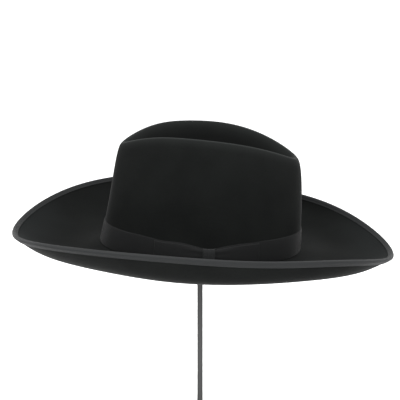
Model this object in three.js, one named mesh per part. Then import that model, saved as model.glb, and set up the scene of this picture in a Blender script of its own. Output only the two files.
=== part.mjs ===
// Wide-brim fedora of black wool felt with a bound edge, a ribbon band and a flat bow, on a plain stand.
// Millimetres and +Z up. The hat's front points to -X and its left side, with the bow, to -Y.
// The origin is the middle of the stand's underside.
import * as THREE from "three";
import { mergeVertices } from "three/addons/utils/BufferGeometryUtils.js";

// Felt body
const FELT = 2; // wall
const HEAD_LONG = 101.8; // half length of the crown's foot, outside
const HEAD_WIDE = 84.2; // half width of the crown's foot, outside
const FOOT_BEND = 2; // reach of the small bend between brim and crown
const DENT_FLOOR = 84; // height of the middle of the dent's floor above the crown's foot
const HAT_TILT = 2.9; // degrees, front up
const HAT_RISE = 210; // crown's foot above the ground

// Ribbons
const RIBBON = 1; // wall
const GAP = 0.3; // clearance between neighbours
const BINDING_LEG = 4.3; // reach of the binding over each face of the brim
const BAND_LOW = 1.8; // lower edge of the band, up the crown wall
const BAND_HIGH = 24.5; // upper edge of the band
const BAND_SAG = 1; // how far the band's upper edge sags at the front of the bow
const SAG_AT = -48; // middle of the sag, along the band from the knot
const SAG_REACH = 26;
const BOW_DROP = 0.9; // how far the bow draws the band's upper edge down
const DROP_FULL = 42; // distance from the knot up to which it does so fully
const DROP_END = 62; // and at which it no longer does
const PINCH_HIGH = 5.1; // how much further the knot draws the ribbons' upper edges down
const PINCH_LOW = 4; // how far it draws their lower edges up
const PINCH_REACH = 36; // length of ribbon that slopes in to the knot

// Bow
const KNOT_AT = 94.5; // degrees from the front, round the wearer's left side
const KNOT_WIDE = 12;
const KNOT_THICK = 3.4;
const LOOP_FRONT = 48; // from the side of the knot to the fold at the front loop's end
const LOOP_BACK = 45; // and at the back loop's
const LOOP_INSET = 1; // how far a loop's edges lie in from the band's
const LOOP_THICK = 2.5; // ribbon lying double
const LOOP_PUFF = 0.6; // how much further the loop stands off halfway along
const EDGE_ROUND = 0.6; // rounding of folded ribbon

// Stand
const BASE_RADIUS = 85;
const BASE_THICK = 5;
const BASE_CHAMFER = 0.8;
const SOCKET_DEEP = 3.5;
const POST_RADIUS = 2.8;
const KNOB_RADIUS = 9;
const KNOB_TALL = 7;
const KNOB_CAP = 1.1; // height of the dome on the knob

// Smoothness
const COLUMNS = 72; // steps round the hat
const STAND_STEPS = 28; // steps round the stand
const LOOP_STEPS = 9;
const CAP_STEPS = 3;

// The brim at stations from the front, 0, to the back, 180: how far its edge lies out from the crown's
// foot and above it, and the slopes with which the brim leaves the foot and ends at the edge
const BRIM = [
  { at: 0, reach: 86.9, rise: 9.4, leaves: -19, ends: 37 },
  { at: 30, reach: 90.4, rise: 19.5, leaves: -13, ends: 49 },
  { at: 60, reach: 93.8, rise: 31.4, leaves: -12, ends: 57 },
  { at: 90, reach: 86.4, rise: 31.8, leaves: -13, ends: 78 },
  { at: 120, reach: 83, rise: 27.2, leaves: -6, ends: 86 },
  { at: 150, reach: 88.1, rise: 17.2, leaves: -6, ends: 64 },
  { at: 180, reach: 93.4, rise: 4.6, leaves: -9, ends: 30 },
];

// The crown at the same stations: how far back its ridge lies, the half width of the oval that the ridge
// follows there, its height, the height of the dent's floor, how far the wall leans in from upright, and
// the length over which the felt runs level on each side of the ridge, where shorter is crisper
const CROWN = [
  { at: 0, back: -82.2, wide: 23.6, high: 103.7, floor: 84, lean: 11.7, crest: 8.6 },
  { at: 30, back: -74.2, wide: 32.2, high: 108, floor: 84, lean: 8, crest: 12 },
  { at: 60, back: -45.8, wide: 45.9, high: 117.4, floor: DENT_FLOOR, lean: 6, crest: 15 },
  { at: 90, back: -8, wide: 52.4, high: 119.6, floor: DENT_FLOOR, lean: 5, crest: 15 },
  { at: 120, back: 44.8, wide: 56.3, high: 114.2, floor: 83, lean: 5, crest: 15 },
  { at: 150, back: 85.2, wide: 41.4, high: 100.1, floor: 80, lean: 4, crest: 12 },
  { at: 180, back: 91.7, wide: 35.9, high: 96.8, floor: 78, lean: 0.1, crest: 7.8 },
];

// How the curves between those places bend
const BRIM_START = 0.45; // share of the chord over which the brim keeps its first slope
const BRIM_END = 0.33; // share over which it keeps its last slope
const WALL_START = 0.55; // share of the height over which the wall keeps its lean
const CREST_SHARE = 0.8; // most of the way in or out that the ridge's level crest may take
const DENT_CREST = 0.6; // how much shorter the level crest is on the dent's side
const FLOOR_LEVEL = 0.25; // share of the way over which the dent's floor stays level
const FLOOR_LONG = 0.7; // length of the floor line against the ridge

// Rows of the felt as shares of the brim, of the wall and of the dent's side
const BRIM_ROWS = [1, 0.96, 0.92, 0.86, 0.79, 0.7, 0.58, 0.42, 0.22];
const WALL_ROWS = [0.36, 0.52, 0.66, 0.78, 0.87, 0.94, 1];
const DENT_ROWS = [0.1, 0.24, 0.45, 0.72, 1];

const felt = new THREE.MeshStandardMaterial({ color: 0x1b1d1c, roughness: 0.95, metalness: 0 });
const ribbon = new THREE.MeshStandardMaterial({ color: 0x252727, roughness: 0.7, metalness: 0 });
const steel = new THREE.MeshStandardMaterial({ color: 0x6a6b6b, roughness: 0.45, metalness: 0.8 });

const radians = THREE.MathUtils.degToRad;

// A column of a table at any angle: a smooth wave through all its rows, alike on both sides of the hat
function between(table, column, angle) {
  const last = table.length - 1;
  const weight = (i) => (i === 0 || i === last ? 0.5 : 1);
  let sum = 0;
  for (let k = 0; k <= last; k++) {
    const terms = table.map((row, j) => weight(j) * row[column] * Math.cos((Math.PI * k * j) / last));
    const share = terms.reduce((a, b) => a + b, 0);
    sum += weight(k) * share * Math.cos(k * angle);
  }
  return (2 / last) * sum;
}

// A step of some length along a level direction that is turned up by a slope in degrees
function slopingStep(level, slope, length) {
  const made = level.clone().multiplyScalar(Math.cos(radians(slope)) * length);
  return made.setZ(Math.sin(radians(slope)) * length);
}

// The brim from the crown's foot to its edge
function brimCurve(angle, foot) {
  const out = new THREE.Vector3(-Math.cos(angle) / HEAD_LONG, -Math.sin(angle) / HEAD_WIDE, 0).normalize();
  const reach = between(BRIM, "reach", angle);
  const rise = between(BRIM, "rise", angle);
  const chord = Math.hypot(reach, rise);
  const edge = foot.clone().addScaledVector(out, reach).setZ(rise);
  const first = slopingStep(out, between(BRIM, "leaves", angle), BRIM_START * chord);
  const last = slopingStep(out, between(BRIM, "ends", angle), BRIM_END * chord);
  return new THREE.CubicBezierCurve3(foot, first.add(foot), last.negate().add(edge), edge);
}

// The crown's wall from its foot to the ridge
function wallCurve(angle, foot, ridge) {
  const inward = ridge.clone().sub(foot).setZ(0);
  const crest = Math.min(between(CROWN, "crest", angle), CREST_SHARE * inward.length());
  inward.normalize();
  const slope = 90 - between(CROWN, "lean", angle);
  const first = slopingStep(inward, slope, WALL_START * ridge.z);
  const last = ridge.clone().addScaledVector(inward, -crest);
  return new THREE.CubicBezierCurve3(foot, first.add(foot), last, ridge);
}

// The side of the dent from the ridge down to the floor line
function dentCurve(angle, ridge, floor) {
  const inward = floor.clone().sub(ridge).setZ(0);
  const way = inward.length();
  inward.normalize();
  const most = CREST_SHARE * (1 - FLOOR_LEVEL) * way;
  const crest = Math.min(DENT_CREST * between(CROWN, "crest", angle), most);
  const first = ridge.clone().addScaledVector(inward, crest);
  const last = floor.clone().addScaledVector(inward, -FLOOR_LEVEL * way);
  return new THREE.CubicBezierCurve3(ridge, first, last, floor);
}

// The felt's three stretches at an angle round the hat, worked out once for each angle
const profiles = new Map();

function profile(angle) {
  if (!profiles.has(angle)) {
    const back = between(CROWN, "back", angle);
    const side = -between(CROWN, "wide", angle) * Math.sin(angle);
    const foot = new THREE.Vector3(-HEAD_LONG * Math.cos(angle), -HEAD_WIDE * Math.sin(angle), 0);
    const ridge = new THREE.Vector3(back, side, between(CROWN, "high", angle));
    const floor = new THREE.Vector3(FLOOR_LONG * back, 0, between(CROWN, "floor", angle));
    const brim = brimCurve(angle, foot);
    const wall = wallCurve(angle, foot, ridge);
    const dent = dentCurve(angle, ridge, floor);
    const lengths = [brim, wall, dent].map((curve) => curve.getLength());
    profiles.set(angle, { brim, wall, dent, lengths });
  }
  return profiles.get(angle);
}

// A point of the felt's upper face by its way from the crown's foot: out over the brim below 0, and above
// 0 up the wall and down into the dent
function surface(angle, way) {
  const { brim, wall, dent, lengths } = profile(angle);
  const [brimLong, wallLong, dentLong] = lengths;
  if (way < 0) return brim.getPointAt(Math.min(1, -way / brimLong));
  if (way <= wallLong) return wall.getPointAt(way / wallLong);
  return dent.getPointAt(Math.min(1, (way - wallLong) / dentLong));
}

// The same point lifted off the felt, or with a lift below 0 sunk into it
function lifted(angle, way, lift) {
  const turn = radians(0.5);
  const reach = 0.5;
  const round = surface(angle + turn, way).sub(surface(angle - turn, way));
  const up = surface(angle, way + reach).sub(surface(angle, way - reach));
  return surface(angle, way).addScaledVector(up.cross(round).normalize(), -lift);
}

// The triangles between rows of points. closeRow joins each row's end to its start, and closeRows the last
// row to the first
function lattice(rows, closeRow, closeRows) {
  const wide = rows[0].length;
  const at = (r, c) => (r % rows.length) * wide + (c % wide);
  const triangles = [];
  for (let r = 0; r < rows.length - (closeRows ? 0 : 1); r++) {
    for (let c = 0; c < wide - (closeRow ? 0 : 1); c++) {
      triangles.push(at(r, c), at(r, c + 1), at(r + 1, c + 1));
      triangles.push(at(r, c), at(r + 1, c + 1), at(r + 1, c));
    }
  }
  return triangles;
}

function geometryOf(points, triangles) {
  const made = new THREE.BufferGeometry().setFromPoints(points);
  made.setIndex(triangles);
  return mergeVertices(made, 1e-4);
}

// Sections carried all round the hat, each a row of points for one angle
function allRound(sectionAt) {
  return Array.from({ length: COLUMNS }, (_, i) => sectionAt((2 * Math.PI * i) / COLUMNS));
}

function ring(sectionAt) {
  const sections = allRound(sectionAt);
  return geometryOf(sections.flat(), lattice(sections, true, true));
}

// A solid through closed sections, with a flat end on the first and on the last
function loft(sections) {
  const wide = sections[0].length;
  const last = wide * (sections.length - 1);
  const triangles = lattice(sections, true, false);
  for (let c = 1; c < wide - 1; c++) {
    triangles.push(0, c + 1, c);
    triangles.push(last, last + c, last + c + 1);
  }
  return geometryOf(sections.flat(), triangles);
}

// The felt's rows as ways from the crown's foot, from the brim's edge to the floor of the dent
function feltWays(angle) {
  const [brimLong, wallLong, dentLong] = profile(angle).lengths;
  return [
    ...BRIM_ROWS.map((share) => -share * brimLong),
    -FOOT_BEND,
    0,
    FOOT_BEND,
    (BAND_LOW + BAND_HIGH) / 2,
    BAND_HIGH,
    ...WALL_ROWS.map((share) => share * wallLong),
    ...DENT_ROWS.map((share) => wallLong + share * dentLong),
  ];
}

// A point of the felt's upper face, or with a depth of one wall of its lower face
function feltPoint(angle, way, depth) {
  const [, wallLong, dentLong] = profile(angle).lengths;
  if (way === 0) {
    const beside = lifted(angle, -FOOT_BEND, -depth).lerp(lifted(angle, FOOT_BEND, -depth), 0.5);
    return lifted(angle, 0, -depth).lerp(beside, 0.5);
  }
  if (way === wallLong + dentLong) return surface(angle, way).add(new THREE.Vector3(0, 0, -depth));
  return lifted(angle, way, -depth);
}

function makeFeltBody() {
  const sections = allRound((angle) => {
    const ways = feltWays(angle);
    const above = ways.map((way) => feltPoint(angle, way, 0));
    const below = ways.map((way) => feltPoint(angle, way, FELT));
    return [...above.reverse(), ...below];
  });
  return geometryOf(sections.flat(), lattice(sections, false, true));
}

// Ribbon folded over the brim's edge: a leg on each face of the felt and a rounded fold outside it
function makeBinding() {
  return ring((angle) => {
    const edge = -profile(angle).lengths[0];
    const outward = surface(angle, edge).sub(surface(angle, edge + 1)).normalize();
    const fold = (lift, out) => lifted(angle, edge, lift).addScaledVector(outward, out);
    const leg = (lift) => [BINDING_LEG, BINDING_LEG / 2, 0].map((inset) => lifted(angle, edge + inset, lift));
    const top = GAP + RIBBON;
    const bottom = -FELT - top;
    return [
      ...leg(top),
      fold(top - RIBBON / 2, GAP + RIBBON / 2),
      fold(-GAP, top),
      fold(GAP - FELT, top),
      fold(bottom + RIBBON / 2, GAP + RIBBON / 2),
      ...leg(bottom).reverse(),
      ...leg(-FELT - GAP),
      fold(-FELT - GAP, GAP),
      fold(GAP, GAP),
      ...leg(GAP).reverse(),
    ];
  });
}

// The lower and upper edges of the band, up the crown wall, at a distance along it from the knot's middle:
// drawn in by the knot, lower under the bow, and sagging a little at its front
function ribbonEdges(distance) {
  const far = Math.abs(distance);
  const slope = THREE.MathUtils.clamp((far - KNOT_WIDE / 2) / PINCH_REACH, 0, 1);
  const pinch = (1 - slope) ** 2;
  const drop = BOW_DROP * (1 - THREE.MathUtils.smoothstep(far, DROP_FULL, DROP_END));
  const sagSpan = Math.min(1, Math.abs(distance - SAG_AT) / SAG_REACH);
  const sag = (BAND_SAG * (1 + Math.cos(Math.PI * sagSpan))) / 2;
  return { low: BAND_LOW + PINCH_LOW * pinch, high: BAND_HIGH - PINCH_HIGH * pinch - drop - sag };
}

// Between a distance along the band from the knot's middle and the angle round the hat
const knotAngle = radians(KNOT_AT);
const angleAt = (distance) => knotAngle + distance / HEAD_LONG;
const distanceAt = (angle) => (angle - knotAngle) * HEAD_LONG;

function makeBand() {
  return ring((angle) => {
    const { low, high } = ribbonEdges(distanceAt(angle));
    const ways = [low, (low + high) / 2, high];
    const inside = ways.map((way) => lifted(angle, way, GAP));
    const outside = ways.map((way) => lifted(angle, way, GAP + RIBBON));
    return [...inside, ...outside.reverse()];
  });
}

// A section across the bow: a flat bar with rounded edges, lying on the band, with its edges some inset
// in from the band's
function bowSection(distance, thick, round, inset) {
  const edges = ribbonEdges(distance);
  const low = edges.low + inset;
  const high = edges.high - inset;
  const bottom = RIBBON + 2 * GAP;
  const top = bottom + thick;
  const outline = [
    { way: low + round, lift: bottom },
    { way: high - round, lift: bottom },
    { way: high, lift: bottom + round },
    { way: high, lift: top - round },
    { way: high - round, lift: top },
    { way: low + round, lift: top },
    { way: low, lift: top - round },
    { way: low, lift: bottom + round },
  ];
  return outline.map(({ way, lift }) => lifted(angleAt(distance), way, lift));
}

// A loop of the bow, to the front of the knot with side -1 and to its back with side 1
function makeLoop(side, long) {
  const start = KNOT_WIDE / 2 + GAP;
  const sections = [];
  for (let i = 0; i <= LOOP_STEPS; i++) {
    const share = i / LOOP_STEPS;
    const distance = start + share * (long - GAP - EDGE_ROUND);
    const puff = LOOP_PUFF * Math.sin(Math.PI * share);
    sections.push(bowSection(side * distance, LOOP_THICK + puff, EDGE_ROUND, LOOP_INSET));
  }
  const foldEnd = side * (KNOT_WIDE / 2 + long);
  const foldInset = LOOP_INSET + EDGE_ROUND;
  sections.push(bowSection(foldEnd, LOOP_THICK - EDGE_ROUND, EDGE_ROUND / 2, foldInset));
  if (side < 0) sections.reverse();
  return loft(sections);
}

function makeKnot() {
  const half = KNOT_WIDE / 2;
  const slices = [
    { distance: -half, thick: KNOT_THICK - 2 * EDGE_ROUND, inset: EDGE_ROUND },
    { distance: -half + EDGE_ROUND, thick: KNOT_THICK - EDGE_ROUND / 2, inset: 0 },
    { distance: -half / 2, thick: KNOT_THICK, inset: 0 },
    { distance: half / 2, thick: KNOT_THICK, inset: 0 },
    { distance: half - EDGE_ROUND, thick: KNOT_THICK - EDGE_ROUND / 2, inset: 0 },
    { distance: half, thick: KNOT_THICK - 2 * EDGE_ROUND, inset: EDGE_ROUND },
  ];
  return loft(slices.map((slice) => bowSection(slice.distance, slice.thick, EDGE_ROUND, slice.inset)));
}

// A turned solid from pairs of radius and height
function turned(pairs) {
  const points = pairs.map(([radius, height]) => new THREE.Vector2(radius, height));
  return new THREE.LatheGeometry(points, STAND_STEPS).rotateX(Math.PI / 2);
}

function makeStandBase() {
  const socket = POST_RADIUS + GAP;
  return turned([
    [0, 0],
    [BASE_RADIUS - BASE_CHAMFER, 0],
    [BASE_RADIUS, BASE_CHAMFER],
    [BASE_RADIUS, BASE_THICK - BASE_CHAMFER],
    [BASE_RADIUS - BASE_CHAMFER, BASE_THICK],
    [socket, BASE_THICK],
    [socket, BASE_THICK - SOCKET_DEEP],
    [0, BASE_THICK - SOCKET_DEEP],
  ]);
}

// The post stands in the base's socket, and its knob carries the hat under the floor of the dent
function makeStandPost() {
  const foot = BASE_THICK - SOCKET_DEEP + GAP;
  const top = HAT_RISE + (DENT_FLOOR - FELT) / Math.cos(radians(HAT_TILT)) - GAP;
  const shoulder = top - KNOB_CAP;
  const pairs = [
    [0, foot],
    [POST_RADIUS, foot],
    [POST_RADIUS, top - KNOB_TALL],
    [KNOB_RADIUS, top - KNOB_TALL / 2],
  ];
  for (let i = 0; i <= CAP_STEPS; i++) {
    const share = i / CAP_STEPS;
    pairs.push([KNOB_RADIUS * (1 - share), shoulder + KNOB_CAP * (1 - (1 - share) ** 2)]);
  }
  return turned(pairs);
}

function piece(name, geometry, material) {
  const mesh = new THREE.Mesh(geometry, material);
  mesh.name = name;
  return mesh;
}

const hat = new THREE.Group();
hat.position.z = HAT_RISE;
hat.rotation.y = radians(HAT_TILT);
hat.add(
  piece("felt_body", makeFeltBody(), felt),
  piece("brim_binding", makeBinding(), ribbon),
  piece("hat_band", makeBand(), ribbon),
  piece("bow_loop_front", makeLoop(-1, LOOP_FRONT), ribbon),
  piece("bow_loop_back", makeLoop(1, LOOP_BACK), ribbon),
  piece("bow_knot", makeKnot(), ribbon),
);

const stand = new THREE.Group();
stand.add(
  piece("stand_base", makeStandBase(), steel),
  piece("stand_post", makeStandPost(), steel),
);

const part = new THREE.Group();
part.add(hat, stand);

export default part;
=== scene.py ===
import bisect
import functools
import math

import bmesh
import bpy
from mathutils import Matrix, Vector
from mathutils.geometry import interpolate_bezier


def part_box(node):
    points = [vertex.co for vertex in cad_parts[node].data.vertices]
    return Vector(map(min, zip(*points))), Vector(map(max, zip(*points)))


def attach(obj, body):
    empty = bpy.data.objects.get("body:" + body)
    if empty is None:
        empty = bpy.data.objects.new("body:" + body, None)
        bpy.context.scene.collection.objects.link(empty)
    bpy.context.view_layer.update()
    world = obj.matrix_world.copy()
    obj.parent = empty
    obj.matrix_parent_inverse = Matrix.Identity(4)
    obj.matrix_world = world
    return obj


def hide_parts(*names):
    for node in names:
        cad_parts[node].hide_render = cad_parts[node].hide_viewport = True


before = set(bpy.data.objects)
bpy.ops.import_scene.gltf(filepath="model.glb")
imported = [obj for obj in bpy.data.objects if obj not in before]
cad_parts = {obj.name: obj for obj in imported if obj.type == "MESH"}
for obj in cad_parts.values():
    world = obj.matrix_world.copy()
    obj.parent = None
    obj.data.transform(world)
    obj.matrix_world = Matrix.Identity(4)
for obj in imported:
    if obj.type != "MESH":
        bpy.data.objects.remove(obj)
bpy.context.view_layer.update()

MM = 0.001
FULL_TURN = 2 * math.pi
MERGE = 1e-3  # points closer than this are one

# Felt body
FELT = 2.0  # wall
HEAD_LONG = 101.8  # half length of the crown's foot, outside
HEAD_WIDE = 84.2  # half width of the crown's foot, outside
FOOT_BEND = 2.0  # reach of the small bend between brim and crown
HAT_TILT = 2.9  # degrees, front up
HAT_RISE = 210.0  # crown's foot above the ground
RIDGE_HIGHLIGHT_FROM = 0.5  # way from the ridge up to which its strong painted highlight is full
RIDGE_HIGHLIGHT_END = 4.5  # and at which it ends
FAINT_RIDGE_HIGHLIGHT_FROM = 2.0  # the same two ways for its faint painted highlight
FAINT_RIDGE_HIGHLIGHT_END = 14.0
DENT_SHADE_FROM = 8.0  # way past the ridge at which the painted shade inside the dent starts
DENT_SHADE_FULL = 26.0  # and at which it is darkest
LIT_ENDS_FROM = 135.0  # way from the hat's middle at which painted light starts to lighten the ends of the brim
LIT_ENDS_FULL = 185.0  # and at which they are lightest

# Ribbons
RIBBON = 0.5  # wall
BINDING_LEG = 4.3  # reach of the binding over each face of the brim
BINDING_OUT = 1.3  # how far its fold stands out past the felt's edge
BINDING_OFF = 1.1  # how far it stands off each face of the felt beside the fold
BINDING_ROUND = 0.8  # way in from the felt's edge at which its fold starts
SEAM_IN = 1.5  # the seam's way in from the binding's inner edge
SEAM_DEEP = 0.35  # how far the seam draws the binding down
SEAM_BEFORE = 0.4  # reach of the dip at the seam on its inner side
SEAM_PAST = 0.5  # and on its outer side
OUTER_DROP = 0.1  # how much nearer the felt the binding lies just outside the seam
INNER_DROP = 0.2  # and inside the seam
LIP_DROP = 0.35  # and at its inner edge
LIP_WIDE = 0.5  # width of the lip that slopes down there
BAND_LOW = 1.8  # lower edge of the band, up the crown wall
BAND_HIGH = 24.5  # upper edge of the band
BAND_OFF = 1.05  # how far the band's middle stands off the felt
BAND_EDGE_OFF = 0.6  # and its edges
BAND_SAG = 1.0  # how far the band's upper edge sags at the front of the bow
SAG_AT = -48.0  # middle of the sag, along the band from the knot
SAG_REACH = 26.0  # half length of the sag
BOW_DROP = 0.9  # how far the bow draws the band's upper edge down
DROP_FULL = 42.0  # distance from the knot up to which it does so fully
DROP_END = 62.0  # and at which it no longer does
PINCH_HIGH = 5.1  # how much further the knot draws the ribbons' upper edges down
PINCH_LOW = 4.0  # how far it draws their lower edges up
PINCH_REACH = 36.0  # length of ribbon that slopes in to the knot
SELVEDGE_FULL = 0.35  # way in from a ribbon's edge up to which its turned threads show fully
SELVEDGE_END = 0.9  # and at which they end
MIDDLE_HIGHLIGHT_FULL = 0.7  # way from a ribbon's middle up to which its painted highlight is full
MIDDLE_HIGHLIGHT_END = 2.4  # and at which the painted highlight ends
RIB_PITCH = 0.9  # from one rib of the ribbon to the next
STITCH = 2.4  # from one stitch of a seam to the next
BAND_GREY = 0.0042  # brightness of the band's ribbon; the knot and the binding are the same ribbon painted lighter, as painted light where more light falls on them
KNOT_LIT_GREY = 0.0085
BINDING_LIT_GREY = 0.0125
BINDING_FOLD_HIGHLIGHT = 0.35  # how much a painted highlight lightens the binding along its fold

# Shares of the way across a ribbon at which its rows lie, closer together along its edges
RIBBON_ROWS = [0, 0.025, 0.08, 0.2, 0.35, 0.5, 0.65, 0.8, 0.92, 0.975, 1]

# Bow
KNOT_AT = 94.5  # degrees from the front, round the wearer's left side
KNOT_HALF = 6.0  # half width
KNOT_TOP = 4.9  # how far the knot stands off the felt
KNOT_FOOT = 1.3  # where its wrapped ends meet the band
KNOT_FOLD = 0.25  # height of the soft folds that run round it
KNOT_FOLDS = 3  # half waves of them from its middle to each side
KNOT_SIDE_DROP = 0.5  # how much nearer the felt its sides lie
KNOT_SPREAD = 0.7  # how square it is from one end to the other, where 1 is round and less is squarer
KNOT_SQUARE = 0.45  # and how square in its height
LOOP_FRONT = 48.0  # from the side of the knot to the fold at the front loop's end
LOOP_BACK = 45.0  # and at the back loop's
LOOP_INSET = 1.0  # how far a loop's edges lie in from the band's
LOOP_TUCK = 2.5  # how far a loop goes in under the knot
LOOP_TOP = 4.1  # how far the outer layer stands off the felt
LOOP_FOOT = 1.6  # and the inner layer
LOOP_PUFF = 0.6  # how much further the outer layer stands off halfway along
LOOP_DIP = 1.3  # how much lower it lies where it goes in under the knot
LOOP_DIP_FULL = 0.04  # share of its length up to which it does so fully
LOOP_DIP_END = 0.16  # and at which it no longer does
LOOP_EDGE_DROP = 0.35  # how much nearer the felt its edges lie
PLEAT = 0.4  # depth of the soft pleats that run out from the knot
PLEATS = 2.5  # waves of them across a loop

# Stand
BASE_RADIUS = 85.0
BASE_THICK = 5.0
BASE_ROUND = 1.2  # reach of its rounded edges
SOCKET_RADIUS = 3.1  # the post's hole in the base
SOCKET_DEEP = 3.5
POST_RADIUS = 2.8
POST_FOOT = 1.8  # height of its lower end
POST_ROUND = 0.4  # reach of its rounded edges
POST_NECK = 2.0  # how far below the knob its plain length ends
KNOB_RADIUS = 9.0
KNOB_TALL = 7.0
KNOB_CAP = 1.1  # height of the dome on the knob
KNOB_FLARE = 2.2  # how late the post flares out to the knob, where 1 is a plain cone
HARD_EDGE = 35  # degrees from which an edge of the stand is rounded

# The brim at stations from the front, 0, to the back, 180: how far its edge lies out from the crown's
# foot and above it, and the slopes with which the brim leaves the foot and ends at the edge
BRIM = [
    {"at": 0, "reach": 86.9, "rise": 9.4, "leaves": -19, "ends": 37},
    {"at": 30, "reach": 90.4, "rise": 19.5, "leaves": -13, "ends": 49},
    {"at": 60, "reach": 93.8, "rise": 31.4, "leaves": -12, "ends": 57},
    {"at": 90, "reach": 86.4, "rise": 31.8, "leaves": -13, "ends": 78},
    {"at": 120, "reach": 83, "rise": 27.2, "leaves": -6, "ends": 86},
    {"at": 150, "reach": 88.1, "rise": 17.2, "leaves": -6, "ends": 64},
    {"at": 180, "reach": 93.4, "rise": 4.6, "leaves": -9, "ends": 30},
]

# The crown at the same stations: how far back its ridge lies, the half width of the oval that the ridge
# follows there, its height, the height of the dent's floor, how far the wall leans in from upright, and
# the length over which the felt runs level on each side of the ridge, where shorter is crisper
CROWN = [
    {"at": 0, "back": -82.2, "wide": 23.6, "high": 103.7, "floor": 84, "lean": 11.7, "crest": 8.6},
    {"at": 30, "back": -74.2, "wide": 32.2, "high": 108, "floor": 84, "lean": 8, "crest": 12},
    {"at": 60, "back": -45.8, "wide": 45.9, "high": 117.4, "floor": 84, "lean": 6, "crest": 15},
    {"at": 90, "back": -8, "wide": 52.4, "high": 119.6, "floor": 84, "lean": 5, "crest": 15},
    {"at": 120, "back": 44.8, "wide": 56.3, "high": 114.2, "floor": 83, "lean": 5, "crest": 15},
    {"at": 150, "back": 85.2, "wide": 41.4, "high": 100.1, "floor": 80, "lean": 4, "crest": 12},
    {"at": 180, "back": 91.7, "wide": 35.9, "high": 96.8, "floor": 78, "lean": 0.1, "crest": 7.8},
]

# How the curves between those places bend
BRIM_START = 0.45  # share of the chord over which the brim keeps its first slope
BRIM_END = 0.33  # share over which it keeps its last slope
WALL_START = 0.55  # share of the height over which the wall keeps its lean
CREST_SHARE = 0.8  # most of the way in or out that the ridge's level crest may take
DENT_CREST = 0.6  # length of the level crest on the dent's side against the wall's side
FLOOR_LEVEL = 0.25  # share of the way over which the dent's floor stays level
FLOOR_LONG = 0.7  # length of the floor line against the ridge

# Smoothness
CURVE_POINTS = 160  # points of each curve in the felt's profile
COLUMNS = 144  # steps of the felt and the ribbons round the hat
BRIM_STEPS = 22  # rows of the felt over the brim, up the wall and down the dent
WALL_STEPS = 24
DENT_STEPS = 12
BINDING_TURNS = 8  # steps round the binding's fold
LOOP_OUTER_STEPS = 18  # steps along a loop's outer layer, round its fold and along its inner layer
LOOP_TURNS = 6
LOOP_INNER_STEPS = 12
KNOT_COLUMNS = 20  # steps across the knot and round it
KNOT_ROWS = 24
STAND_STEPS = 96  # steps round the stand
KNOB_STEPS = 8  # steps of the knob's flare and of its dome
BEVEL_STEPS = 3  # steps of each rounded edge of the stand

# Camera
SENSOR = 36.0  # width of the sensor
CAMERA_FAR = 1.5  # metres from the point it looks at
CAMERA_ABOVE = 13.4  # degrees
AIM_RISE = 46.7  # point it looks at, above the crown's foot
VIEW_WIDE = 405.7  # how much of the hat's middle plane the picture spans

# Studio
WORLD_LIGHT = 1.03
TABLE_GLOW = 0.2  # light that comes up through the white table
FLOOR_RADIUS = 14.0  # metres

# The soft lamps: where each hangs and what it faces, and its size, all in metres, and its power in watts
LAMPS = [
    {
        "name": "upper left light",
        "at": (-1.0, 0.1, 1.7),
        "aim": (0, 0, 0.2),
        "size": (0.6, 0.6),
        "power": 20,
    },
    {
        "name": "upper right light",
        "at": (1.0, 0.1, 1.7),
        "aim": (0, 0, 0.2),
        "size": (0.6, 0.6),
        "power": 21,
    },
    {
        "name": "front light",
        "at": (0, -1.5, 0.9),
        "aim": (0, 0, 0.25),
        "size": (1.2, 0.8),
        "power": 29,
    },
]


# Shape of the hat


def waves(table):
    """Each column of a table as the heights of the cosine waves that run through all its rows"""
    last = len(table) - 1
    halved = [0.5] + [1.0] * (last - 1) + [0.5]
    heights = {}
    for column in table[0]:
        heights[column] = []
        for wave in range(last + 1):
            terms = []
            for i, row in enumerate(table):
                terms.append(halved[i] * row[column] * math.cos(math.pi * wave * i / last))
            heights[column].append(2 / last * halved[wave] * sum(terms))
    return heights


BRIM_WAVES = waves(BRIM)
CROWN_WAVES = waves(CROWN)


def between(heights, column, angle):
    """A column at any angle round the hat, alike on both sides"""
    return sum(height * math.cos(wave * angle) for wave, height in enumerate(heights[column]))


def sloping_step(level, slope, length):
    """A step of some length along a level direction that is turned up by a slope in degrees"""
    run = level * (math.cos(math.radians(slope)) * length)
    return run + Vector((0, 0, math.sin(math.radians(slope)) * length))


def brim_curve(angle, foot):
    """The brim from its edge in to the crown's foot"""
    out = Vector((-math.cos(angle) / HEAD_LONG, -math.sin(angle) / HEAD_WIDE, 0)).normalized()
    reach = between(BRIM_WAVES, "reach", angle)
    rise = between(BRIM_WAVES, "rise", angle)
    chord = math.hypot(reach, rise)
    edge = foot + out * reach + Vector((0, 0, rise))
    first = foot + sloping_step(out, between(BRIM_WAVES, "leaves", angle), BRIM_START * chord)
    last = edge - sloping_step(out, between(BRIM_WAVES, "ends", angle), BRIM_END * chord)
    return interpolate_bezier(edge, last, first, foot, CURVE_POINTS)


def wall_curve(angle, foot, ridge):
    """The crown's wall from its foot to the ridge"""
    inward = (ridge - foot) * Vector((1, 1, 0))
    crest = min(between(CROWN_WAVES, "crest", angle), CREST_SHARE * inward.length)
    inward.normalize()
    slope = 90 - between(CROWN_WAVES, "lean", angle)
    first = foot + sloping_step(inward, slope, WALL_START * ridge.z)
    return interpolate_bezier(foot, first, ridge - inward * crest, ridge, CURVE_POINTS)


def dent_curve(angle, ridge, floor):
    """The side of the dent from the ridge down to the floor line"""
    inward = (floor - ridge) * Vector((1, 1, 0))
    way = inward.length
    inward.normalize()
    most = CREST_SHARE * (1 - FLOOR_LEVEL) * way
    crest = min(DENT_CREST * between(CROWN_WAVES, "crest", angle), most)
    last = floor - inward * (FLOOR_LEVEL * way)
    return interpolate_bezier(ridge, ridge + inward * crest, last, floor, CURVE_POINTS)


def long_way(points):
    return sum((b - a).length for a, b in zip(points, points[1:]))


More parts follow.
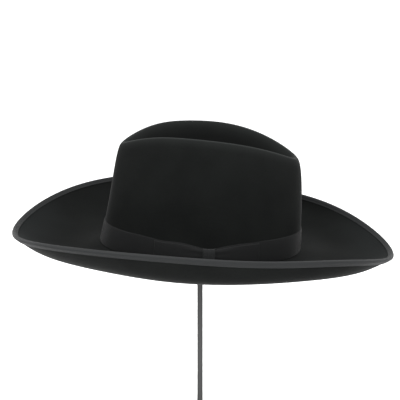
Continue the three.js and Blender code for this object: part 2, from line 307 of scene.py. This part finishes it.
@functools.cache
def profile(angle):
    """The felt's upper face at an angle: its points, their ways from the crown's foot, and the lengths of
    brim, wall and dent"""
    foot = Vector((-HEAD_LONG * math.cos(angle), -HEAD_WIDE * math.sin(angle), 0))
    back = between(CROWN_WAVES, "back", angle)
    side = -between(CROWN_WAVES, "wide", angle) * math.sin(angle)
    ridge = Vector((back, side, between(CROWN_WAVES, "high", angle)))
    floor = Vector((FLOOR_LONG * back, 0, between(CROWN_WAVES, "floor", angle)))
    brim = brim_curve(angle, foot)
    wall = wall_curve(angle, foot, ridge)
    dent = dent_curve(angle, ridge, floor)
    lengths = [long_way(curve) for curve in (brim, wall, dent)]
    points = brim + wall[1:] + dent[1:]
    ways = [-lengths[0]]
    for a, b in zip(points, points[1:]):
        ways.append(ways[-1] + (b - a).length)
    return points, ways, lengths


def surface(angle, way):
    """A point of the felt's upper face by its way from the crown's foot: out over the brim below 0, and
    above 0 up the wall and down into the dent"""
    points, ways, _ = profile(angle)
    after = min(max(bisect.bisect(ways, way), 1), len(ways) - 1)
    share = (way - ways[after - 1]) / (ways[after] - ways[after - 1])
    return points[after - 1].lerp(points[after], share)


def lifted(angle, way, lift):
    """The same point lifted off the felt, or with a lift below 0 sunk into it"""
    turn = math.radians(0.5)
    reach = 0.8
    across = surface(angle + turn, way) - surface(angle - turn, way)
    along = surface(angle, way + reach) - surface(angle, way - reach)
    return surface(angle, way) + across.cross(along).normalized() * lift


def place():
    """From the hat's own frame in millimetres to the row frame in metres"""
    turn = Matrix.Rotation(math.radians(HAT_TILT), 4, "Y")
    return Matrix.Scale(MM, 4) @ Matrix.Translation((0, 0, HAT_RISE)) @ turn


# Where things lie along the ribbons

knot_angle = math.radians(KNOT_AT)


def angle_at(distance):
    """The angle round the hat at a distance along the band from the knot's middle"""
    return knot_angle + distance / HEAD_LONG


def distance_at(angle):
    return (angle - knot_angle) * HEAD_LONG


def smoothstep(value, low, high):
    share = min(1.0, max(0.0, (value - low) / (high - low)))
    return share * share * (3 - 2 * share)


def pinch_at(distance):
    """How far the knot gathers the ribbons, from 1 under it to 0 well beside it"""
    slope = min(1.0, max(0.0, (abs(distance) - KNOT_HALF) / PINCH_REACH))
    return (1 - slope) ** 2


def ribbon_edges(distance):
    """The lower and upper edges of the band, up the crown wall: drawn in by the knot, lower under the
    bow, and sagging a little at its front"""
    pinch = pinch_at(distance)
    drop = BOW_DROP * (1 - smoothstep(abs(distance), DROP_FULL, DROP_END))
    span = min(1.0, abs(distance - SAG_AT) / SAG_REACH)
    sag = BAND_SAG * (1 + math.cos(math.pi * span)) / 2
    return BAND_LOW + PINCH_LOW * pinch, BAND_HIGH - PINCH_HIGH * pinch - drop - sag


# Mesh helpers


def steps(start, end, count):
    return [start + (end - start) * i / count for i in range(count + 1)]


def sheet_mesh(columns, rows, put, flat):
    """A grid of columns and rows, where put(column, row) gives each point in the hat's frame and
    flat(column, row) its place on the flat cloth"""
    mesh = bmesh.new()
    uv = mesh.loops.layers.uv.new("UVMap")
    wide = len(columns) - 1
    tall = len(rows) - 1
    bmesh.ops.create_grid(mesh, x_segments=wide, y_segments=tall, size=0.5)
    cloth = {}
    for vert in mesh.verts:
        column = columns[round((vert.co.x + 0.5) * wide)]
        row = rows[round((vert.co.y + 0.5) * tall)]
        cloth[vert] = flat(column, row)
        vert.co = put(column, row)
    for face in mesh.faces:
        for corner in face.loops:
            corner[uv].uv = cloth[corner.vert]
    bmesh.ops.remove_doubles(mesh, verts=mesh.verts, dist=MERGE)
    bmesh.ops.transform(mesh, matrix=place(), verts=mesh.verts)
    return mesh


def finished(name, mesh, material, slot, *nodes):
    """The object for a mesh, riding on the frame in place of its CAD nodes"""
    data = bpy.data.meshes.new(name)
    mesh.to_mesh(data)
    mesh.free()
    data.shade_smooth()
    data.materials.append(material)
    piece = bpy.data.objects.new(name, data)
    bpy.context.scene.collection.objects.link(piece)
    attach(piece, "root")
    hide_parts(*nodes)
    return piece


def thickened(piece, wall):
    """Gives a sheet its wall on the side away from its faces, with rounded edges"""
    solid = piece.modifiers.new("wall", "SOLIDIFY")
    solid.thickness = wall * MM
    solid.offset = -1
    solid.use_even_offset = True
    rounded = piece.modifiers.new("rounding", "SUBSURF")
    rounded.levels = 1
    rounded.render_levels = 1
    return piece


# Pieces of the hat


def felt_rows():
    """Rows of the felt as a stretch and a share of it, closer together at the bend at the crown's foot"""
    brim = [("brim", share) for share in steps(1, 0, BRIM_STEPS)[:-1]]
    bend = [("bend", -FOOT_BEND), ("bend", 0), ("bend", FOOT_BEND)]
    wall = [("wall", share) for share in steps(0, 1, WALL_STEPS)[1:]]
    dent = [("dent", share) for share in steps(0, 1, DENT_STEPS)[1:]]
    return brim + bend + wall + dent


def felt_way(angle, row):
    """A row's way from the crown's foot"""
    stretch, share = row
    _, _, (brim_long, wall_long, dent_long) = profile(angle)
    if stretch == "brim":
        return -FOOT_BEND - share * (brim_long - FOOT_BEND)
    if stretch == "wall":
        return FOOT_BEND + share * (wall_long - FOOT_BEND)
    if stretch == "dent":
        return wall_long + share * dent_long
    return share


def felt_point(angle, row):
    way = felt_way(angle, row)
    if way == 0:
        beside = surface(angle, -FOOT_BEND).lerp(surface(angle, FOOT_BEND), 0.5)
        return surface(angle, 0).lerp(beside, 0.5)
    return surface(angle, way)


def felt_flat(angle, row):
    """Where a point lies round the hat and past the crown's ridge"""
    turned = angle % FULL_TURN
    return angle * HEAD_LONG * MM, (felt_way(turned, row) - profile(turned)[2][1]) * MM


def make_felt(material):
    mesh = sheet_mesh(
        steps(0, FULL_TURN, COLUMNS),
        felt_rows(),
        lambda angle, row: felt_point(angle % FULL_TURN, row),
        felt_flat,
    )
    return thickened(finished("wool_felt_hat", mesh, material, "felt", "felt_body"), FELT)


def binding_section():
    """Across the binding, from its inner edge under the brim, round the fold, to its inner edge on top:
    rows of way in from the felt's edge, way out past it, lift off the felt's middle, and way across"""
    seam = BINDING_LEG - SEAM_IN
    leg = [
        (BINDING_LEG, BINDING_OFF - LIP_DROP),
        (BINDING_LEG - LIP_WIDE, BINDING_OFF - INNER_DROP),
        (seam + SEAM_BEFORE, BINDING_OFF - INNER_DROP),
        (seam, BINDING_OFF - SEAM_DEEP - OUTER_DROP),
        (seam - SEAM_PAST, BINDING_OFF - OUTER_DROP),
        (seam / 2, BINDING_OFF),
        (BINDING_ROUND, BINDING_OFF),
    ]
    middle = FELT / 2
    rows = [(way, 0.0, -middle - off) for way, off in leg]
    for turn in steps(-90, 90, BINDING_TURNS):
        out = BINDING_OUT * math.cos(math.radians(turn))
        rows.append((0.0, out, (middle + BINDING_OFF) * math.sin(math.radians(turn))))
    rows += [(way, 0.0, middle + off) for way, off in reversed(leg)]
    across = [0.0]
    for a, b in zip(rows, rows[1:]):
        across.append(across[-1] + math.dist(a, b))
    return [(*row, way) for row, way in zip(rows, across)]


def binding_point(angle, row):
    way, out, lift, _ = row
    edge = profile(angle)[1][0]
    point = lifted(angle, edge + way, lift - FELT / 2)
    outward = (surface(angle, edge) - surface(angle, edge + 1)).normalized()
    return point + outward * out


def make_binding(material):
    angles = steps(0, FULL_TURN, 2 * COLUMNS)
    rows = binding_section()
    brim_round = HEAD_LONG + BRIM[0]["reach"]
    wide = rows[-1][3]
    mesh = sheet_mesh(
        angles,
        rows,
        lambda angle, row: binding_point(angle % FULL_TURN, row),
        lambda angle, row: (angle * brim_round * MM, row[3] / wide),
    )
    piece = finished("bound_edge", mesh, material, "ribbon", "brim_binding")
    return thickened(piece, RIBBON)


def crowned(share):
    """From 1 along the middle of a ribbon to 0 along its edges"""
    return 1 - abs(2 * share - 1) ** 4


def band_point(angle, share):
    low, high = ribbon_edges(distance_at(angle))
    off = BAND_EDGE_OFF + (BAND_OFF - BAND_EDGE_OFF) * crowned(share)
    return lifted(angle, low + share * (high - low), off)


def make_band(material):
    angles = steps(0, FULL_TURN, COLUMNS)
    mesh = sheet_mesh(
        angles,
        RIBBON_ROWS,
        lambda angle, share: band_point(angle % FULL_TURN, share),
        lambda angle, share: (angle * HEAD_LONG * MM, share),
    )
    piece = finished("ribbon_band", mesh, material, "ribbon", "hat_band")
    return thickened(piece, RIBBON)


def loop_path(side, long):
    """Along a loop to one side of the knot: rows of distance from the knot's middle, lift off the felt,
    and length of ribbon used, over the outer layer, round the fold and back under it"""
    start = KNOT_HALF - LOOP_TUCK
    end = KNOT_HALF + long
    fold = (LOOP_TOP - LOOP_FOOT) / 2
    path = []
    for share in steps(0, 1, LOOP_OUTER_STEPS):
        puff = LOOP_PUFF * math.sin(math.pi * share) ** 2
        tucked = LOOP_DIP * (1 - smoothstep(share, LOOP_DIP_FULL, LOOP_DIP_END))
        path.append((start + share * (end - fold - start), LOOP_TOP + puff - tucked))
    for turn in steps(90, -90, LOOP_TURNS)[1:-1]:
        out = fold * math.cos(math.radians(turn))
        path.append((end - fold + out, LOOP_FOOT + fold + fold * math.sin(math.radians(turn))))
    path += [(distance, LOOP_FOOT) for distance in steps(end - fold, start, LOOP_INNER_STEPS)]
    used = [0.0]
    for a, b in zip(path, path[1:]):
        used.append(used[-1] + math.dist(a, b))
    rows = [(side * distance, lift, length) for (distance, lift), length in zip(path, used)]
    return rows if side > 0 else rows[::-1]


def loop_point(step, share):
    distance, lift, _ = step
    low, high = ribbon_edges(distance)
    low += LOOP_INSET
    high -= LOOP_INSET
    pinch = pinch_at(distance)
    pleats = PLEAT * pinch * math.cos(math.radians(360 * PLEATS * share))
    outer = smoothstep(lift, LOOP_FOOT, LOOP_TOP)
    off = lift + outer * (pleats - LOOP_EDGE_DROP * (1 - crowned(share)))
    return lifted(angle_at(distance), low + share * (high - low), off)


def make_loop(name, side, long, material, node):
    mesh = sheet_mesh(
        loop_path(side, long),
        RIBBON_ROWS,
        loop_point,
        lambda step, share: (step[2] * MM, share),
    )
    return thickened(finished(name, mesh, material, "ribbon", node), RIBBON)


def knot_point(distance, turn):
    """Round the knot from its lower end to its upper end, a turn of -90 to 90 degrees"""
    low, high = ribbon_edges(distance)
    half = (high - low) / 2
    sine = math.sin(math.radians(turn))
    cosine = max(0.0, math.cos(math.radians(turn)))
    side = abs(distance) / KNOT_HALF
    drawn = KNOT_FOLD * math.cos(math.pi * side * KNOT_FOLDS) - KNOT_SIDE_DROP * side**4
    way = (low + high) / 2 + half * math.copysign(abs(sine) ** KNOT_SPREAD, sine)
    rise = cosine**KNOT_SQUARE
    off = KNOT_FOOT + (KNOT_TOP - KNOT_FOOT - KNOT_FOLD + drawn) * rise
    return lifted(angle_at(distance), way, off)


def make_knot(material):
    low, high = ribbon_edges(0)
    long_round = high - low + 2 * (KNOT_TOP - KNOT_FOOT)
    mesh = sheet_mesh(
        steps(-KNOT_HALF, KNOT_HALF, KNOT_COLUMNS),
        steps(-90, 90, KNOT_ROWS),
        knot_point,
        lambda distance, turn: (turn / 180 * long_round * MM, (distance + KNOT_HALF) / (2 * KNOT_HALF)),
    )
    return thickened(finished("ribbon_knot", mesh, material, "ribbon", "bow_knot"), RIBBON)


# Pieces of the stand


def turned_mesh(pairs):
    """A solid turned round the upright axis from pairs of radius and height"""
    mesh = bmesh.new()
    verts = [mesh.verts.new((radius * MM, 0, height * MM)) for radius, height in pairs]
    edges = [mesh.edges.new(pair) for pair in zip(verts, verts[1:])]
    bmesh.ops.spin(
        mesh, geom=verts + edges, axis=(0, 0, 1), angle=FULL_TURN, steps=STAND_STEPS, use_merge=True
    )
    bmesh.ops.remove_doubles(mesh, verts=mesh.verts, dist=MERGE * MM)
    bmesh.ops.recalc_face_normals(mesh, faces=mesh.faces)
    return mesh


def softened(piece, width):
    """Rounds the hard edges of a turned piece"""
    bevel = piece.modifiers.new("rounded edges", "BEVEL")
    bevel.width = width * MM
    bevel.segments = BEVEL_STEPS
    bevel.limit_method = "ANGLE"
    bevel.angle_limit = math.radians(HARD_EDGE)
    bevel.harden_normals = True
    return piece


def make_stand_base(material):
    mesh = turned_mesh(
        [
            (0, 0),
            (BASE_RADIUS, 0),
            (BASE_RADIUS, BASE_THICK),
            (SOCKET_RADIUS, BASE_THICK),
            (SOCKET_RADIUS, BASE_THICK - SOCKET_DEEP),
            (0, BASE_THICK - SOCKET_DEEP),
        ]
    )
    piece = finished("round_foot", mesh, material, "stand_metal", "stand_base")
    return softened(piece, BASE_ROUND)


def make_stand_post(material):
    """The post with its knob under the floor of the dent"""
    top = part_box("stand_post")[1].z / MM
    waist = top - KNOB_TALL
    shoulder = top - KNOB_CAP
    pairs = [(0, POST_FOOT), (POST_RADIUS, POST_FOOT), (POST_RADIUS, waist - POST_NECK)]
    for share in steps(0, 1, KNOB_STEPS):
        flare = share**KNOB_FLARE
        pairs.append((POST_RADIUS + (KNOB_RADIUS - POST_RADIUS) * flare, waist + share * KNOB_TALL / 2))
    for share in steps(0, 1, KNOB_STEPS):
        pairs.append((KNOB_RADIUS * (1 - share), shoulder + KNOB_CAP * (1 - (1 - share) ** 2)))
    piece = finished("slim_post", turned_mesh(pairs), material, "stand_metal", "stand_post")
    return softened(piece, POST_ROUND)


# Shader maths


class Signal:
    """A socket in a material, on which arithmetic adds Math nodes"""

    def __init__(self, finish, socket):
        self.finish = finish
        self.socket = socket

    def __add__(self, other):
        return self.finish.math("ADD", self, other)

    def __radd__(self, other):
        return self.finish.math("ADD", other, self)

    def __sub__(self, other):
        return self.finish.math("SUBTRACT", self, other)

    def __rsub__(self, other):
        return self.finish.math("SUBTRACT", other, self)

    def __mul__(self, other):
        return self.finish.math("MULTIPLY", self, other)

    def __rmul__(self, other):
        return self.finish.math("MULTIPLY", other, self)


class Finish:
    """A material with its shader, and one method that adds any other node"""

    def __init__(self, name):
        self.material = bpy.data.materials.new(name)
        self.material.use_nodes = True
        self.nodes = self.material.node_tree.nodes
        self.links = self.material.node_tree.links
        self.shader = self.nodes["Principled BSDF"]

    def node(self, kind, settings, sockets, output=0):
        """Adds a node of a type: its settings first, then the values or links of its sockets"""
        made = self.nodes.new(kind)
        for name, value in settings.items():
            setattr(made, name, value)
        for name, value in sockets.items():
            self.feed(made.inputs[name], value)
        return Signal(self, made.outputs[output])

    def feed(self, socket, value):
        if isinstance(value, Signal):
            self.links.new(value.socket, socket)
        else:
            socket.default_value = value

    def math(self, operation, *values):
        return self.node("ShaderNodeMath", {"operation": operation}, dict(enumerate(values)))

    def noise(self, spot, size, detail=2.0, rough=0.5):
        """Even noise from 0 to 1 with spots of about this size in millimetres"""
        sockets = {"Vector": spot, "Scale": 1 / (size * MM), "Detail": detail, "Roughness": rough}
        return self.node("ShaderNodeTexNoise", {}, sockets)

    def spread(self, value, low, high, bottom=0.0, top=1.0):
        """Carries low..high smoothly over to bottom..top"""
        sockets = {"Value": value, "From Min": low, "From Max": high, "To Min": bottom, "To Max": top}
        return self.node("ShaderNodeMapRange", {"interpolation_type": "SMOOTHSTEP"}, sockets)

    def mix(self, share, first, second):
        """A colour between two others, which the node takes at its sockets 6 and 7"""
        sockets = {"Factor": share, 6: first, 7: second}
        return self.node("ShaderNodeMix", {"data_type": "RGBA"}, sockets, 2)

    def bump(self, height, deep):
        """Bump from a height of 0 to 1 that stands for this depth in millimetres"""
        sockets = {"Height": height, "Distance": deep * MM, "Strength": 1.0}
        return self.node("ShaderNodeBump", {}, sockets)

    def spot(self):
        """The point of the object that is shaded"""
        return self.node("ShaderNodeTexCoord", {}, {}, "Object")

    def cloth(self):
        """Where that point lies on the flat cloth, as the sheet's mesh was given it"""
        uv = self.node("ShaderNodeTexCoord", {}, {}, "UV")
        return [self.node("ShaderNodeSeparateXYZ", {}, {"Vector": uv}, axis) for axis in "XY"]

    def shade(self, **sockets):
        """Feeds the shader's sockets, named with _ for a space"""
        for name, value in sockets.items():
            self.feed(self.shader.inputs[name.replace("_", " ")], value)


def grey(level, blue=0.0):
    """A near-neutral colour, a little cooler with blue above 0"""
    return (level * (1 - blue), level, level * (1 + blue / 2), 1)


def wool_felt():
    """Black wool felt with a short matt nap, with a painted highlight along the crown's ridge, painted
    light that lightens both ends of the brim, and painted shade that darkens the inside of the dent"""
    finish = Finish("wool felt")
    spot = finish.spot()
    along = finish.node("ShaderNodeSeparateXYZ", {}, {"Vector": spot}, "X")
    _, past_ridge = finish.cloth()
    fibres = finish.noise(spot, 0.45, 4, 0.6)
    nap = finish.noise(spot, 1.6, 3, 0.6)
    clouds = finish.noise(spot, 38, 2)
    tone = 0.55 * fibres + 0.2 * nap + 0.25 * clouds
    dark = (0.0027, 0.0030, 0.0029, 1)
    light = (0.0055, 0.0061, 0.0058, 1)
    dent_shade_colour = (0.0006, 0.0007, 0.0007, 1)
    ends_light_colour = (0.0103, 0.0115, 0.0117, 1)
    ridge_highlight_colour = (0.0215, 0.0235, 0.0228, 1)
    # painted highlight along the crown's ridge: strong close to it, faint further off, mottled by the nap
    off_ridge = finish.math("ABSOLUTE", past_ridge)
    strong_ridge_highlight = finish.spread(off_ridge, RIDGE_HIGHLIGHT_FROM * MM, RIDGE_HIGHLIGHT_END * MM, 0.7, 0)
    faint_ridge_highlight = finish.spread(off_ridge, FAINT_RIDGE_HIGHLIGHT_FROM * MM, FAINT_RIDGE_HIGHLIGHT_END * MM, 0.3, 0)
    painted_highlight_share = strong_ridge_highlight + faint_ridge_highlight
    felt = finish.mix(finish.spread(tone, 0.36, 0.64), dark, light)
    # painted shade: the felt darkens down inside the dent, where less light reaches
    sunk = finish.spread(past_ridge, DENT_SHADE_FROM * MM, DENT_SHADE_FULL * MM)
    felt = finish.mix(0.7 * sunk, felt, dent_shade_colour)
    # painted light: both ends of the brim are lighter, where more light falls on them
    ends = finish.spread(finish.math("ABSOLUTE", along), LIT_ENDS_FROM * MM, LIT_ENDS_FULL * MM)
    felt = finish.mix(0.55 * ends, felt, ends_light_colour)
    finish.shade(
        Base_Color=finish.mix(painted_highlight_share * (0.4 + 0.4 * nap), felt, ridge_highlight_colour),
        Roughness=finish.spread(nap, 0.3, 0.7, 0.86, 0.98),
        Normal=finish.bump(fibres * 0.75 + nap * 0.25, 0.1),
        Specular_IOR_Level=0.05,
        Sheen_Weight=0.05,
        Sheen_Roughness=0.25,
    )
    return finish.material


def grosgrain(name, width, light, seams=(), middle_highlight=0.0):
    """Ribbed ribbon of this width and brightness: its ribs run across it and its threads turn back along
    its edges, where they carry a lighter painted glint. seams are the ways across it at which it is sewn
    down, and the last argument is how much a painted highlight lightens it along its middle"""
    finish = Finish(name)
    spot = finish.spot()
    length, across = finish.cloth()
    ribs = finish.math("COSINE", length * (FULL_TURN / (RIB_PITCH * MM))) * 0.5 + 0.5
    middle = finish.math("ABSOLUTE", across - 0.5)
    inset = (0.5 - middle) * width
    selvedge_and_glint = finish.spread(inset, SELVEDGE_FULL, SELVEDGE_END, 1, 0)
    turns = finish.math("COSINE", length * (FULL_TURN / (2 * RIB_PITCH * MM))) * 0.5 + 0.5
    threads = finish.noise(spot, 0.4, 3, 0.6)
    shade = finish.noise(spot, 14, 2)
    tone = finish.spread(0.4 * ribs + 0.35 * threads + 0.25 * shade, 0.2, 0.8)
    body = finish.mix(tone, grey(light * 0.72, 0.06), grey(light * 1.3, 0.06))
    # painted glint: the turned threads along the edges are coloured lighter, dotted by their turns
    edged = finish.mix(selvedge_and_glint * (0.25 + 0.75 * turns), body, grey(light * 1.6, 0.04))
    # painted highlight along the ribbon's middle, which on the binding is its fold
    painted_highlight_share = finish.spread(middle * width, MIDDLE_HIGHLIGHT_FULL, MIDDLE_HIGHLIGHT_END, middle_highlight, 0)
    edged = finish.mix(painted_highlight_share, edged, grey(light * 1.8, 0.04))
    height = ribs * (1 - selvedge_and_glint) + selvedge_and_glint * turns + 0.15 * threads
    for seam in seams:
        off = finish.math("ABSOLUTE", across * width - seam)
        stitch = finish.math("COSINE", length * (FULL_TURN / (STITCH * MM)))
        thread = finish.spread(off, 0.15, 0.35, 1, 0) * finish.spread(stitch, -0.9, -0.6)
        height = height + 0.8 * thread
        edged = finish.mix(thread * 0.5, edged, grey(light * 1.6))
    finish.shade(
        Base_Color=edged,
        Roughness=finish.spread(tone, 0, 1, 0.62, 0.8),
        Normal=finish.bump(height, 0.09),
        Specular_IOR_Level=0.12,
        Sheen_Weight=0.06,
        Sheen_Roughness=0.25,
    )
    return finish.material


def satin_grey():
    """Grey satin paint on steel, faintly speckled"""
    finish = Finish("satin grey paint")
    spot = finish.spot()
    speckle = finish.noise(spot, 0.8, 3)
    cloud = finish.noise(spot, 25, 2)
    tone = 0.6 * speckle + 0.4 * cloud
    finish.shade(
        Base_Color=finish.mix(finish.spread(tone, 0.3, 0.7), grey(0.05), grey(0.063)),
        Roughness=finish.spread(tone, 0.3, 0.7, 0.6, 0.75),
        Normal=finish.bump(speckle, 0.02),
        Specular_IOR_Level=0.05,
    )
    return finish.material


# Studio


def white_table():
    """White table lit from below, as product tables are"""
    finish = Finish("white table")
    grain = finish.noise(finish.spot(), 30, 3)
    finish.shade(
        Base_Color=finish.mix(grain, grey(0.9), grey(0.92)),
        Roughness=0.9,
        Specular_IOR_Level=0.1,
        Emission_Color=grey(1),
        Emission_Strength=TABLE_GLOW,
    )
    return finish.material


def make_floor():
    mesh = bmesh.new()
    bmesh.ops.create_circle(mesh, cap_ends=True, segments=64, radius=FLOOR_RADIUS)
    data = bpy.data.meshes.new("floor")
    mesh.to_mesh(data)
    mesh.free()
    data.materials.append(white_table())
    floor = bpy.data.objects.new("floor", data)
    bpy.context.scene.collection.objects.link(floor)


def soft_box(name, at, aim, size, power):
    data = bpy.data.lights.new(name, "AREA")
    data.shape = "RECTANGLE"
    data.size, data.size_y = size
    data.energy = power
    lamp = bpy.data.objects.new(name, data)
    lamp.location = at
    lamp.rotation_euler = (Vector(aim) - Vector(at)).to_track_quat("-Z", "Y").to_euler()
    bpy.context.scene.collection.objects.link(lamp)


def light_studio():
    world = bpy.data.worlds.new("white studio")
    world.use_nodes = True
    sky = world.node_tree.nodes["Background"]
    sky.inputs["Color"].default_value = (1, 1, 1, 1)
    sky.inputs["Strength"].default_value = WORLD_LIGHT
    scene = bpy.context.scene
    scene.world = world
    scene.view_settings.view_transform = "Standard"
    for lamp in LAMPS:
        soft_box(**lamp)


def aim_camera():
    data = bpy.data.cameras.new("camera")
    data.sensor_width = SENSOR
    data.lens = SENSOR * CAMERA_FAR / (VIEW_WIDE * MM)
    camera = bpy.data.objects.new("camera", data)
    above = math.radians(CAMERA_ABOVE)
    back = Vector((0, -math.cos(above), math.sin(above))) * CAMERA_FAR
    camera.location = Vector((0, 0, (HAT_RISE + AIM_RISE) * MM)) + back
    camera.rotation_euler = (-back).to_track_quat("-Z", "Y").to_euler()
    bpy.context.scene.collection.objects.link(camera)
    bpy.context.scene.camera = camera


# Everything, in order

binding_wide = binding_section()[-1][3]
binding_seams = (SEAM_IN, binding_wide - SEAM_IN)
felt = wool_felt()
band_ribbon = grosgrain("band grosgrain", BAND_HIGH - BAND_LOW, BAND_GREY)
# the knot and the binding: the band's ribbon painted lighter, as painted light
lit_knot_ribbon = grosgrain("knot grosgrain painted lighter", 2 * KNOT_HALF, KNOT_LIT_GREY)
lit_edge_ribbon = grosgrain("edge grosgrain painted lighter", binding_wide, BINDING_LIT_GREY, binding_seams, BINDING_FOLD_HIGHLIGHT)
paint = satin_grey()

make_felt(felt)
make_binding(lit_edge_ribbon)
make_band(band_ribbon)
make_loop("ribbon_loop_front", -1, LOOP_FRONT, band_ribbon, "bow_loop_front")
make_loop("ribbon_loop_back", 1, LOOP_BACK, band_ribbon, "bow_loop_back")
make_knot(lit_knot_ribbon)
make_stand_base(paint)
make_stand_post(paint)

make_floor()
light_studio()
aim_camera()
